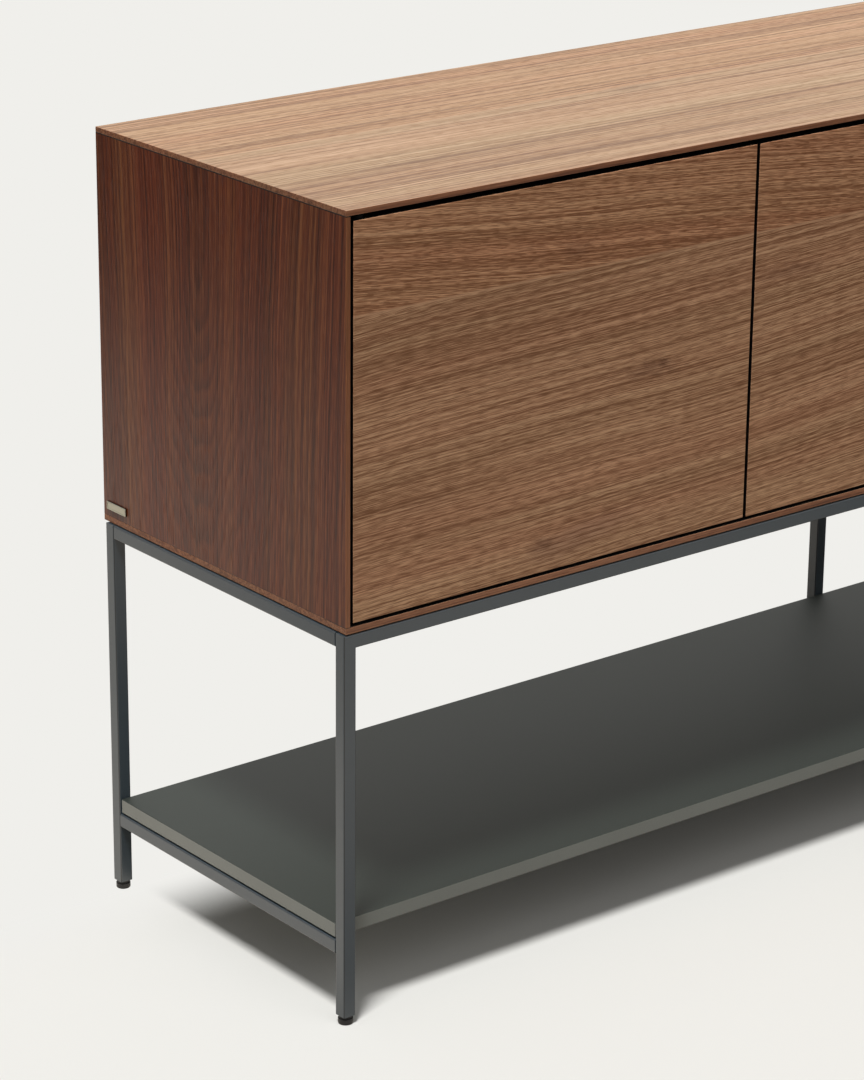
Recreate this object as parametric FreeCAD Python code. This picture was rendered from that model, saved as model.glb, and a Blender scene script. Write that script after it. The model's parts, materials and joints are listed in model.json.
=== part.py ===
import FreeCAD, Part
import os

V = FreeCAD.Vector

# Office credenza: a four-door cabinet on a square-tube frame with an open lower shelf.
# Origin: centre of the footprint on the floor. +X to the right, -Y to the front, +Z up.
# All sizes in millimetres.

# Overall size
WIDTH = 1975.0
DEPTH = 400.0
HEIGHT = 800.0
CABINET_HEIGHT = 400.0

# Carcass panels. Each outer panel is thinned at the front to a lip that frames the doors.
PANEL = 18.0
TOP_LIP = 5.2
SIDE_LIP = 5.0
BOTTOM_LIP = 6.2
LIP_DEPTH = 27.0
DIVIDER_THICKNESS = 18.0
EDGE_BAND = 1.0
PANEL_EDGE_RADIUS = 0.4

# Back panels, set in rebates
BACK_THICKNESS = 6.0
BACK_INSET = 2.0
BACK_OVERLAP = 7.0
BACK_SCREW_COLUMNS = 4
BACK_SCREW_EDGE = 4.0
BACK_SCREW_MARGIN = 50.0

# Doors
DOOR_THICKNESS = 18.0
DOOR_RECESS = 0.5
DOOR_COUNT = 4
GAP_TOP = 5.35
GAP_BOTTOM = 3.4
GAP_SIDE = 3.7
GAP_BETWEEN = 4.1
DOOR_EDGE_RADIUS = 0.6

# Pivot hinges: a pin pressed into each door edge turns in a bracket on the carcass
PIN_RADIUS = 2.5
PIN_FROM_EDGE = 9.0
PIN_FROM_FRONT = 7.0
PIN_PLUG_RADIUS = 3.5
PIN_PLUG_DEPTH = 22.0
PIN_CLEARANCE = 0.05
PIN_END_GAP = 0.4
BRACKET_THICKNESS = 2.4
BRACKET_HALF_WIDTH = 5.0
BRACKET_FLANGE_LENGTH = 28.0
BRACKET_SCREW_OFFSETS = (11.0, 20.0)
WASHER_RADIUS = 5.0
WASHER_END_GAP = 0.1

# Push latches
LATCH_FROM_DOOR_EDGE = 30.0
LATCH_WIDTH = 16.0
LATCH_HEIGHT = 14.0
LATCH_LENGTH = 46.0
LATCH_BEHIND_SHOULDER = 3.0
LATCH_BORE_DEPTH = 30.0
PLUNGER_RADIUS = 3.5
PLUNGER_CLEARANCE = 0.08
PLUNGER_INSIDE = 22.0
PLUNGER_TIP_GAP = 0.4
STRIKE_RADIUS = 8.0
STRIKE_THICKNESS = 1.0

# Countersunk wood screws
WOOD_SCREW_RADIUS = 1.5
WOOD_SCREW_LENGTH = 14.0
WOOD_SCREW_HEAD_RADIUS = 3.0
WOOD_SCREW_HEAD_DEPTH = 1.5

# Carcass dowels
DOWEL_RADIUS = 3.0
DOWEL_SHORT_END = 12.0
DOWEL_LONG_END = 16.0
DOWEL_COUNT = 4
DOWEL_MARGIN = 55.0

# Interior shelves on pins
INNER_SHELF_THICKNESS = 16.0
INNER_SHELF_SIDE_GAP = 1.0
INNER_SHELF_FRONT_SETBACK = 20.0
INNER_SHELF_BACK_GAP = 2.0
SHELF_PIN_RADIUS = 2.5
SHELF_PIN_LENGTH = 8.0
SHELF_PIN_DEPTH = 9.0
SHELF_PIN_MARGIN = 45.0
SHELF_PIN_GAP = 0.1

# Frame of square tube
TUBE = 14.0
TUBE_WALL = 1.5
TUBE_RADIUS = 1.5
FRAME_SIDE_OVERHANG = 2.0
FRAME_BACK_INSET = 5.0
FRAME_GAP = 1.2
RAIL_SEAM = 0.6
SPIGOT_CLEARANCE = 0.1
SPIGOT_LENGTH = 20.0
SET_SCREW_RADIUS = 2.5
SET_SCREW_LENGTH = 6.0

# Lower shelf
LOWER_SHELF_TOP = 103.0
LOWER_SHELF_THICKNESS = 15.0
LOWER_SHELF_SIDE_INSET = 1.2
LOWER_SHELF_LEG_GAP = 2.0
LOWER_SHELF_EDGE_RADIUS = 0.8
SHELF_PAD_THICKNESS = 2.0

# Frame screws, up through the top wall of a tube, with the head inside the tube
FRAME_SCREW_RADIUS = 2.0
FRAME_SCREW_LENGTH = 15.5
FRAME_SCREW_HEAD_RADIUS = 4.0
FRAME_SCREW_HEAD_HEIGHT = 2.5
FRAME_SCREW_ACCESS_RADIUS = 4.7
FRAME_SCREW_MARGIN = 80.0
SPACER_RADIUS = 5.5

# Adjustable feet
FOOT_HEIGHT = 8.7
FOOT_PAD_RADIUS = 7.7
FOOT_PAD_FLOOR_RADIUS = 6.9
FOOT_PAD_HEIGHT = 5.6
FOOT_PAD_EDGE_RADIUS = 0.7
FOOT_NECK_RADIUS = 6.2
FOOT_NECK_GAP = 0.3
FOOT_STUD_RADIUS = 4.0
FOOT_STUD_LENGTH = 24.0
FOOT_STUD_CLEARANCE = 0.05
INSERT_LENGTH = 22.0
INSERT_CLEARANCE = 0.05

# Blank plate on the left side
PLATE_LENGTH = 33.0
PLATE_HEIGHT = 8.0
PLATE_THICKNESS = 1.0
PLATE_FROM_BACK = 7.5
PLATE_ABOVE_BOTTOM = 14.0
PLATE_EDGE_RADIUS = 0.3

# Derived planes
LEFT = -WIDTH / 2
RIGHT = WIDTH / 2
FRONT = -DEPTH / 2
BACK = DEPTH / 2
BASE = HEIGHT - CABINET_HEIGHT
FLOOR_OF_CABINET = BASE + PANEL
CEILING = HEIGHT - PANEL
TOP_LIP_UNDER = HEIGHT - TOP_LIP
BOTTOM_LIP_TOP = BASE + BOTTOM_LIP
SHOULDER = FRONT + LIP_DEPTH
BAND_FRONT = SHOULDER - EDGE_BAND
INNER_LEFT = LEFT + PANEL
INNER_RIGHT = RIGHT - PANEL
HALF_DIVIDER = DIVIDER_THICKNESS / 2
BACK_OUTER = BACK - BACK_INSET
BACK_INNER = BACK_OUTER - BACK_THICKNESS

DOOR_FRONT = FRONT + DOOR_RECESS
DOOR_BACK = DOOR_FRONT + DOOR_THICKNESS
DOOR_TOP = TOP_LIP_UNDER - GAP_TOP
DOOR_BOTTOM = BOTTOM_LIP_TOP + GAP_BOTTOM
DOORS_LEFT = LEFT + SIDE_LIP + GAP_SIDE
DOOR_WIDTH = (RIGHT - SIDE_LIP - GAP_SIDE - DOORS_LEFT - (DOOR_COUNT - 1) * GAP_BETWEEN) / DOOR_COUNT
PIN_Y = DOOR_FRONT + PIN_FROM_FRONT

FRAME_TOP = BASE - FRAME_GAP
FRAME_UNDER = FRAME_TOP - TUBE
FRAME_LEFT = LEFT - FRAME_SIDE_OVERHANG
FRAME_RIGHT = RIGHT + FRAME_SIDE_OVERHANG
FRAME_FRONT = FRONT
FRAME_BACK = BACK - FRAME_BACK_INSET
RAIL_FRONT_END = FRAME_FRONT + TUBE
RAIL_BACK_END = FRAME_BACK - TUBE

SHELF_UNDER = LOWER_SHELF_TOP - LOWER_SHELF_THICKNESS
LOWER_RAIL_TOP = SHELF_UNDER - SHELF_PAD_THICKNESS

pieces = {}


def box(x0, x1, y0, y1, z0, z1):
    return Part.makeBox(x1 - x0, y1 - y0, z1 - z0, V(x0, y0, z0))


def rod(start, direction, length, radius):
    return Part.makeCylinder(radius, length, start, direction)


def group(solids):
    return Part.makeCompound(solids)


def mirror_x(shape):
    return shape.mirror(V(0, 0, 0), V(1, 0, 0))


def on_plane(edge, axis, value):
    return all(abs(getattr(v.Point, axis) - value) < 0.001 for v in edge.Vertexes)


def ease(shape, radius, planes):
    """Round every edge of the shape that lies on one of the planes, given as (axis, value)."""
    edges = [e for e in shape.Edges if any(on_plane(e, axis, value) for axis, value in planes)]
    return shape.makeFillet(radius, edges)


def ease_all(shape, radius):
    return shape.makeFillet(radius, shape.Edges)


def drill(name, cutters):
    pieces[name] = pieces[name].cut(cutters)


def evenly(start, end, count):
    return [start + (end - start) * i / (count - 1) for i in range(count)]


# ---------------------------------------------------------------- carcass

def top_or_bottom(outer_z, inner_z, lip_z):
    """Full-width panel, thinned to its lip along the front and over both side panels."""
    z0, z1 = sorted((outer_z, inner_z))
    lip0, lip1 = sorted((lip_z, inner_z))
    panel = box(LEFT, RIGHT, FRONT, BACK, z0, z1)
    panel = panel.cut(
        [
            box(LEFT, RIGHT, FRONT, SHOULDER, lip0, lip1),
            box(LEFT, INNER_LEFT, SHOULDER, BACK, lip0, lip1),
            box(INNER_RIGHT, RIGHT, SHOULDER, BACK, lip0, lip1),
        ]
    )
    rebate0, rebate1 = sorted((inner_z, inner_z + BACK_OVERLAP * (1 if outer_z > inner_z else -1)))
    panel = panel.cut(box(INNER_LEFT, INNER_RIGHT, BACK_INNER, BACK, rebate0, rebate1))
    outer = [("x", LEFT), ("x", RIGHT), ("y", FRONT), ("y", BACK), ("z", outer_z)]
    return ease(panel, PANEL_EDGE_RADIUS, outer)


def left_side():
    panel = box(LEFT, INNER_LEFT, FRONT, BACK, BOTTOM_LIP_TOP, TOP_LIP_UNDER)
    panel = panel.cut(
        [
            box(LEFT + SIDE_LIP, INNER_LEFT, FRONT, SHOULDER, BOTTOM_LIP_TOP, TOP_LIP_UNDER),
            box(INNER_LEFT - BACK_OVERLAP, INNER_LEFT, BACK_INNER, BACK, BOTTOM_LIP_TOP, TOP_LIP_UNDER),
        ]
    )
    return ease(panel, PANEL_EDGE_RADIUS, [("x", LEFT), ("y", FRONT), ("y", BACK)])


def divider():
    panel = box(-HALF_DIVIDER, HALF_DIVIDER, SHOULDER, BACK, FLOOR_OF_CABINET, CEILING)
    rebate = box(HALF_DIVIDER - BACK_OVERLAP, HALF_DIVIDER, BACK_INNER, BACK, FLOOR_OF_CABINET, CEILING)
    return panel.cut([rebate, mirror_x(rebate)])


def left_back():
    return box(
        INNER_LEFT - BACK_OVERLAP,
        -HALF_DIVIDER + BACK_OVERLAP,
        BACK_INNER,
        BACK_OUTER,
        FLOOR_OF_CABINET - BACK_OVERLAP,
        CEILING + BACK_OVERLAP,
    )


def edge_bands():
    """Black bands on the forward-facing shoulders behind the doors."""
    side = box(LEFT + SIDE_LIP, INNER_LEFT, BAND_FRONT, SHOULDER, FLOOR_OF_CABINET, CEILING)
    return group(
        [
            box(LEFT + SIDE_LIP, RIGHT - SIDE_LIP, BAND_FRONT, SHOULDER, CEILING, TOP_LIP_UNDER),
            box(LEFT + SIDE_LIP, RIGHT - SIDE_LIP, BAND_FRONT, SHOULDER, BOTTOM_LIP_TOP, FLOOR_OF_CABINET),
            side,
            mirror_x(side),
            box(-HALF_DIVIDER, HALF_DIVIDER, BAND_FRONT, SHOULDER, FLOOR_OF_CABINET, CEILING),
        ]
    )


pieces["top_panel"] = top_or_bottom(HEIGHT, CEILING, TOP_LIP_UNDER)
pieces["bottom_panel"] = top_or_bottom(BASE, FLOOR_OF_CABINET, BOTTOM_LIP_TOP)
pieces["left_side_panel"] = left_side()
pieces["right_side_panel"] = mirror_x(left_side())
pieces["centre_divider"] = divider()
pieces["left_back_panel"] = left_back()
pieces["right_back_panel"] = mirror_x(left_back())
pieces["carcass_edge_bands"] = edge_bands()

# Dowels: level ones join the sides to the top and bottom, upright ones hold the divider
dowel_ys = evenly(SHOULDER + DOWEL_MARGIN, BACK_INNER - DOWEL_MARGIN, DOWEL_COUNT)
dowel_length = DOWEL_SHORT_END + DOWEL_LONG_END
dowels = []
for y in dowel_ys:
    for z in ((CEILING + TOP_LIP_UNDER) / 2, (FLOOR_OF_CABINET + BOTTOM_LIP_TOP) / 2):
        side_dowel = rod(V(INNER_LEFT - DOWEL_SHORT_END, y, z), V(1, 0, 0), dowel_length, DOWEL_RADIUS)
        dowels += [side_dowel, mirror_x(side_dowel)]
    dowels.append(rod(V(0, y, CEILING - DOWEL_LONG_END), V(0, 0, 1), dowel_length, DOWEL_RADIUS))
    dowels.append(rod(V(0, y, FLOOR_OF_CABINET + DOWEL_LONG_END), V(0, 0, -1), dowel_length, DOWEL_RADIUS))
pieces["carcass_dowels"] = group(dowels)
for name in ("top_panel", "bottom_panel", "left_side_panel", "right_side_panel", "centre_divider"):
    drill(name, dowels)

# ---------------------------------------------------------------- interior shelves

inner_shelf_under = (FLOOR_OF_CABINET + CEILING - INNER_SHELF_THICKNESS) / 2
left_inner_shelf = box(
    INNER_LEFT + INNER_SHELF_SIDE_GAP,
    -HALF_DIVIDER - INNER_SHELF_SIDE_GAP,
    SHOULDER + INNER_SHELF_FRONT_SETBACK,
    BACK_INNER - INNER_SHELF_BACK_GAP,
    inner_shelf_under,
    inner_shelf_under + INNER_SHELF_THICKNESS,
)
pieces["left_interior_shelf"] = left_inner_shelf
pieces["right_interior_shelf"] = mirror_x(left_inner_shelf)

pin_z = inner_shelf_under - SHELF_PIN_GAP - SHELF_PIN_RADIUS
pin_length = SHELF_PIN_LENGTH + SHELF_PIN_DEPTH
shelf_front = SHOULDER + INNER_SHELF_FRONT_SETBACK
shelf_pins = []
for y in (shelf_front + SHELF_PIN_MARGIN, BACK_INNER - INNER_SHELF_BACK_GAP - SHELF_PIN_MARGIN):
    outer_pin = rod(V(INNER_LEFT - SHELF_PIN_DEPTH, y, pin_z), V(1, 0, 0), pin_length, SHELF_PIN_RADIUS)
    divider_pin = rod(V(0, y, pin_z), V(-1, 0, 0), HALF_DIVIDER + SHELF_PIN_LENGTH, SHELF_PIN_RADIUS)
    shelf_pins += [outer_pin, mirror_x(outer_pin), divider_pin, mirror_x(divider_pin)]
pieces["shelf_pins"] = group(shelf_pins)
for name in ("left_side_panel", "right_side_panel", "centre_divider"):
    drill(name, shelf_pins)

# ---------------------------------------------------------------- doors and their fittings

wood_screws = []
brackets = []
washers = []
latch_housings = []


def wood_screw(head_point, direction):
    """A countersunk screw whose flat head lies in the plane of head_point."""
    shank = rod(head_point, direction, WOOD_SCREW_LENGTH, WOOD_SCREW_RADIUS)
    head = Part.makeCone(
        WOOD_SCREW_HEAD_RADIUS, WOOD_SCREW_RADIUS, WOOD_SCREW_HEAD_DEPTH, head_point, direction
    )
    screw = shank.fuse(head)
    wood_screws.append(screw)
    return screw


def bracket(pin_x, inward, lip_z, core_z):
    """Angle bracket: a tongue on the lip holds the pin, a flange is screwed to the shoulder."""
    up = 1 if lip_z > core_z else -1
    tongue0, tongue1 = sorted((lip_z, lip_z - up * BRACKET_THICKNESS))
    flange0, flange1 = sorted((lip_z, core_z))
    tongue = box(
        pin_x - BRACKET_HALF_WIDTH, pin_x + BRACKET_HALF_WIDTH, PIN_Y, BAND_FRONT, tongue0, tongue1
    )
    nose = rod(V(pin_x, PIN_Y, tongue0), V(0, 0, 1), BRACKET_THICKNESS, BRACKET_HALF_WIDTH)
    x0, x1 = sorted((pin_x - inward * BRACKET_HALF_WIDTH, pin_x + inward * BRACKET_FLANGE_LENGTH))
    flange = box(x0, x1, BAND_FRONT - BRACKET_THICKNESS, BAND_FRONT, flange0, flange1)
    shape = tongue.fuse([nose, flange]).removeSplitter()
    hole = rod(V(pin_x, PIN_Y, tongue0), V(0, 0, 1), BRACKET_THICKNESS, PIN_RADIUS + PIN_CLEARANCE)
    screw_y = BAND_FRONT - BRACKET_THICKNESS
    screw_z = (lip_z - up * BRACKET_THICKNESS + core_z) / 2
    screws = [
        wood_screw(V(pin_x + inward * offset, screw_y, screw_z), V(0, 1, 0))
        for offset in BRACKET_SCREW_OFFSETS
    ]
    return shape.cut([hole] + screws)


def pivot_pin(pin_x, door_z, up, reach):
    """A plug pressed into the door edge, with the pin standing out of it."""
    plug = rod(V(pin_x, PIN_Y, door_z), V(0, 0, -up), PIN_PLUG_DEPTH, PIN_PLUG_RADIUS)
    pin = rod(V(pin_x, PIN_Y, door_z), V(0, 0, up), reach, PIN_RADIUS)
    return plug, plug.fuse(pin).removeSplitter()


def washer(pin_x, door_z, up, height):
    ring = rod(V(pin_x, PIN_Y, door_z + up * WASHER_END_GAP), V(0, 0, up), height, WASHER_RADIUS)
    hole = rod(V(pin_x, PIN_Y, door_z), V(0, 0, up), height + WASHER_END_GAP, PIN_RADIUS + PIN_CLEARANCE)
    return ring.cut(hole)


def make_latch(x, number):
    """Housing under the cabinet top, with a plunger that meets the strike plate on the door."""
    y0 = SHOULDER + LATCH_BEHIND_SHOULDER
    z = CEILING - LATCH_HEIGHT / 2
    housing = box(
        x - LATCH_WIDTH / 2, x + LATCH_WIDTH / 2, y0, y0 + LATCH_LENGTH, CEILING - LATCH_HEIGHT, CEILING
    )
    bore = rod(V(x, y0, z), V(0, 1, 0), LATCH_BORE_DEPTH, PLUNGER_RADIUS + PLUNGER_CLEARANCE)
    housing = housing.cut(bore)
    latch_housings.append(housing)
    strike = rod(V(x, DOOR_BACK, z), V(0, 1, 0), STRIKE_THICKNESS, STRIKE_RADIUS)
    tip = DOOR_BACK + STRIKE_THICKNESS + PLUNGER_TIP_GAP
    pieces["latch_plunger_%d" % number] = rod(
        V(x, tip, z), V(0, 1, 0), y0 + PLUNGER_INSIDE - tip, PLUNGER_RADIUS
    )
    pieces["strike_plate_%d" % number] = strike


def make_door(number):
    """Doors pair up: odd ones hinge at their left edge, even ones at their right edge."""
    x0 = DOORS_LEFT + (number - 1) * (DOOR_WIDTH + GAP_BETWEEN)
    x1 = x0 + DOOR_WIDTH
    hinge_left = number % 2 == 1
    inward = 1 if hinge_left else -1
    pin_x = x0 + PIN_FROM_EDGE if hinge_left else x1 - PIN_FROM_EDGE
    latch_x = x1 - LATCH_FROM_DOOR_EDGE if hinge_left else x0 + LATCH_FROM_DOOR_EDGE
    slab = ease_all(box(x0, x1, DOOR_FRONT, DOOR_BACK, DOOR_BOTTOM, DOOR_TOP), DOOR_EDGE_RADIUS)
    plugs = []
    pins = []
    for up, door_z, gap in ((1, DOOR_TOP, GAP_TOP), (-1, DOOR_BOTTOM, GAP_BOTTOM)):
        plug, pin = pivot_pin(pin_x, door_z, up, gap - PIN_END_GAP)
        plugs.append(plug)
        pins.append(pin)
        washers.append(washer(pin_x, door_z, up, gap - BRACKET_THICKNESS - WASHER_END_GAP))
    brackets.append(bracket(pin_x, inward, TOP_LIP_UNDER, CEILING))
    brackets.append(bracket(pin_x, inward, BOTTOM_LIP_TOP, FLOOR_OF_CABINET))
    pieces["door_%d" % number] = slab.cut(plugs)
    pieces["door_%d_pivot_pins" % number] = group(pins)
    make_latch(latch_x, number)


for number in range(1, DOOR_COUNT + 1):
    make_door(number)

pieces["hinge_brackets"] = group(brackets)
pieces["hinge_washers"] = group(washers)
pieces["latch_housings"] = group(latch_housings)

# Screws along the top and bottom of both back panels
back_left = INNER_LEFT - BACK_OVERLAP + BACK_SCREW_EDGE
back_right = -HALF_DIVIDER + BACK_OVERLAP - BACK_SCREW_EDGE
for x in evenly(back_left + BACK_SCREW_MARGIN, back_right - BACK_SCREW_MARGIN, BACK_SCREW_COLUMNS):
    for z in (CEILING + BACK_OVERLAP - BACK_SCREW_EDGE, FLOOR_OF_CABINET - BACK_OVERLAP + BACK_SCREW_EDGE):
        for side in (1, -1):
            wood_screw(V(side * x, BACK_OUTER, z), V(0, -1, 0))
pieces["wood_screws"] = group(wood_screws)
for name in ("top_panel", "bottom_panel", "left_back_panel", "right_back_panel", "carcass_edge_bands"):
    drill(name, wood_screws)

# ---------------------------------------------------------------- tube frame


def tube(x0, x1, y0, y1, z0, z1):
    """Square tube along the longest side of the box."""
    sizes = {"x": x1 - x0, "y": y1 - y0, "z": z1 - z0}
    run = max(sizes, key=sizes.get)
    outer = box(x0, x1, y0, y1, z0, z1)
    corners = [
        e
        for e in outer.Edges
        if abs(getattr(e.Vertexes[0].Point, run) - getattr(e.Vertexes[1].Point, run)) > TUBE
    ]
    outer = outer.makeFillet(TUBE_RADIUS, corners)
    wall = {axis: (0 if axis == run else TUBE_WALL) for axis in "xyz"}
    inner = box(
        x0 + wall["x"], x1 - wall["x"], y0 + wall["y"], y1 - wall["y"], z0 + wall["z"], z1 - wall["z"]
    )
    return outer.cut(inner)


def mitre_wedge(y0):
    """Prism over the left end of a top rail, on the leg's side of the 45 degree joint."""
    corners = [
        V(FRAME_LEFT - TUBE, y0 - TUBE, FRAME_TOP + TUBE),
        V(FRAME_LEFT + 2 * TUBE, y0 - TUBE, FRAME_TOP - 2 * TUBE),
        V(FRAME_LEFT - TUBE, y0 - TUBE, FRAME_TOP - 2 * TUBE),
    ]
    return Part.Face(Part.makePolygon(corners + corners[:1])).extrude(V(0, 3 * TUBE, 0))


def top_rail(y0):
    wedge = mitre_wedge(y0)
    rail = tube(FRAME_LEFT, FRAME_RIGHT, y0, y0 + TUBE, FRAME_UNDER, FRAME_TOP)
    return rail.cut([wedge, mirror_x(wedge)])


def end_leg(y0):
    """Left leg, mitred under the left end of its top rail."""
    leg = tube(FRAME_LEFT, FRAME_LEFT + TUBE, y0, y0 + TUBE, FOOT_HEIGHT, FRAME_TOP)
    above = box(FRAME_LEFT, FRAME_LEFT + TUBE, y0, y0 + TUBE, FRAME_UNDER, FRAME_TOP)
    return leg.cut(above.cut(mitre_wedge(y0)))


def centre_leg(y0):
    return tube(-TUBE / 2, TUBE / 2, y0, y0 + TUBE, FOOT_HEIGHT, FRAME_UNDER)


pieces["front_top_rail"] = top_rail(FRAME_FRONT)
pieces["rear_top_rail"] = top_rail(RAIL_BACK_END)
leg_lines = {"front": FRAME_FRONT, "rear": RAIL_BACK_END}
for row, y0 in leg_lines.items():
    pieces["%s_left_leg" % row] = end_leg(y0)
    pieces["%s_centre_leg" % row] = centre_leg(y0)
    pieces["%s_right_leg" % row] = mirror_x(end_leg(y0))

rail_xs = {
    "left": FRAME_LEFT + TUBE / 2,
    "centre": 0.0,
    "right": FRAME_RIGHT - TUBE / 2,
}
rail_levels = {"upper": FRAME_TOP, "lower": LOWER_RAIL_TOP}
spigots = []
set_screws = []
spigot_half = TUBE / 2 - TUBE_WALL - SPIGOT_CLEARANCE
for level, rail_top in rail_levels.items():
    for place, x in rail_xs.items():
        rail = tube(
            x - TUBE / 2, x + TUBE / 2, RAIL_FRONT_END + RAIL_SEAM, RAIL_BACK_END - RAIL_SEAM,
            rail_top - TUBE, rail_top,
        )
        screws = []
        for y, reach in ((RAIL_FRONT_END, SPIGOT_LENGTH), (RAIL_BACK_END, -SPIGOT_LENGTH)):
            y0, y1 = sorted((y, y + reach))
            z = rail_top - TUBE / 2
            spigot = box(x - spigot_half, x + spigot_half, y0, y1, z - spigot_half, z + spigot_half)
            hole_foot = V(x, y + reach / 2, rail_top - TUBE)
            screw = rod(hole_foot, V(0, 0, 1), SET_SCREW_LENGTH, SET_SCREW_RADIUS)
            spigots.append(spigot.cut(screw))
            screws.append(screw)
        pieces["%s_%s_rail" % (level, place)] = rail.cut(screws)
        set_screws += screws
pieces["rail_spigots"] = group(spigots)
pieces["rail_set_screws"] = group(set_screws)

# ---------------------------------------------------------------- lower shelf

lower_shelf = box(
    FRAME_LEFT + LOWER_SHELF_SIDE_INSET,
    FRAME_RIGHT - LOWER_SHELF_SIDE_INSET,
    RAIL_FRONT_END + LOWER_SHELF_LEG_GAP,
    RAIL_BACK_END - LOWER_SHELF_LEG_GAP,
    SHELF_UNDER,
    LOWER_SHELF_TOP,
)
pieces["lower_shelf"] = ease_all(lower_shelf, LOWER_SHELF_EDGE_RADIUS)

# ---------------------------------------------------------------- frame screws


def frame_screw(x, y, tube_top):
    seat = tube_top - TUBE_WALL
    shank = rod(V(x, y, seat), V(0, 0, 1), FRAME_SCREW_LENGTH, FRAME_SCREW_RADIUS)
    head = rod(V(x, y, seat), V(0, 0, -1), FRAME_SCREW_HEAD_HEIGHT, FRAME_SCREW_HEAD_RADIUS)
    return shank.fuse(head).removeSplitter()


def access_hole(x, y, tube_top):
    """Hole in the lower wall of a tube, through which the screw and its driver pass."""
    return rod(V(x, y, tube_top - TUBE), V(0, 0, 1), TUBE_WALL, FRAME_SCREW_ACCESS_RADIUS)


def ring(x, y, z0, height):
    outer = rod(V(x, y, z0), V(0, 0, 1), height, SPACER_RADIUS)
    return outer.cut(rod(V(x, y, z0), V(0, 0, 1), height, FRAME_SCREW_RADIUS))


cabinet_screws = []
spacers = []
shelf_screws = []
shelf_pads = []
access_holes = []
for x in rail_xs.values():
    for y in (RAIL_FRONT_END + FRAME_SCREW_MARGIN, RAIL_BACK_END - FRAME_SCREW_MARGIN):
        cabinet_screws.append(frame_screw(x, y, FRAME_TOP))
        spacers.append(ring(x, y, FRAME_TOP, FRAME_GAP))
        shelf_screws.append(frame_screw(x, y, LOWER_RAIL_TOP))
        shelf_pads.append(ring(x, y, LOWER_RAIL_TOP, SHELF_PAD_THICKNESS))
        access_holes += [access_hole(x, y, rail_top) for rail_top in rail_levels.values()]
pieces["frame_screws"] = group(cabinet_screws + shelf_screws)
pieces["frame_spacers"] = group(spacers)
pieces["shelf_pads"] = group(shelf_pads)
for name in ("bottom_panel", "left_side_panel", "right_side_panel"):
    drill(name, cabinet_screws)
drill("lower_shelf", shelf_screws)
for place in rail_xs:
    drill("upper_%s_rail" % place, cabinet_screws + access_holes)
    drill("lower_%s_rail" % place, shelf_screws + access_holes)

# ---------------------------------------------------------------- feet


def foot(x, y):
    """Round tapered pad with a neck below the leg and a stud that turns up into the leg insert."""
    pad = Part.makeCone(FOOT_PAD_FLOOR_RADIUS, FOOT_PAD_RADIUS, FOOT_PAD_HEIGHT, V(x, y, 0))
    pad = ease(pad, FOOT_PAD_EDGE_RADIUS, [("z", 0), ("z", FOOT_PAD_HEIGHT)])
    neck_top = FOOT_HEIGHT - FOOT_NECK_GAP
    neck = rod(V(x, y, FOOT_PAD_HEIGHT), V(0, 0, 1), neck_top - FOOT_PAD_HEIGHT, FOOT_NECK_RADIUS)
    stud = rod(V(x, y, neck_top), V(0, 0, 1), FOOT_STUD_LENGTH, FOOT_STUD_RADIUS)
    return pad.fuse([neck, stud])


insert_half = TUBE / 2 - TUBE_WALL - INSERT_CLEARANCE
inserts = []
for row, y0 in leg_lines.items():
    y = y0 + TUBE / 2
    for place, x in rail_xs.items():
        plug = box(
            x - insert_half, x + insert_half, y - insert_half, y + insert_half,
            FOOT_HEIGHT, FOOT_HEIGHT + INSERT_LENGTH,
        )
        thread_radius = FOOT_STUD_RADIUS + FOOT_STUD_CLEARANCE
        thread = rod(V(x, y, FOOT_HEIGHT), V(0, 0, 1), INSERT_LENGTH, thread_radius)
        inserts.append(plug.cut(thread))
        pieces["%s_%s_foot" % (row, place)] = foot(x, y)
pieces["leg_inserts"] = group(inserts)

# ---------------------------------------------------------------- blank plate

plate_back = BACK - PLATE_FROM_BACK
plate_low = BASE + PLATE_ABOVE_BOTTOM
plate = box(
    LEFT - PLATE_THICKNESS, LEFT, plate_back - PLATE_LENGTH, plate_back, plate_low, plate_low + PLATE_HEIGHT
)
pieces["side_plate"] = ease(plate, PLATE_EDGE_RADIUS, [("x", LEFT - PLATE_THICKNESS)])

os.makedirs("parts", exist_ok=True)
for name, shape in pieces.items():
    shape.exportStep("parts/%s.step" % name)
print(len(pieces), "nodes,", sum(len(s.Solids) for s in pieces.values()), "solids")
bad = [n for n, s in pieces.items() if not s.isValid() or s.Volume <= 0]
print("invalid:", bad)
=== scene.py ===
"""Office credenza: finishes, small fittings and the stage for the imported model."""
import json
import math

import bpy
from mathutils import Euler, Matrix, Vector


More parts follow.
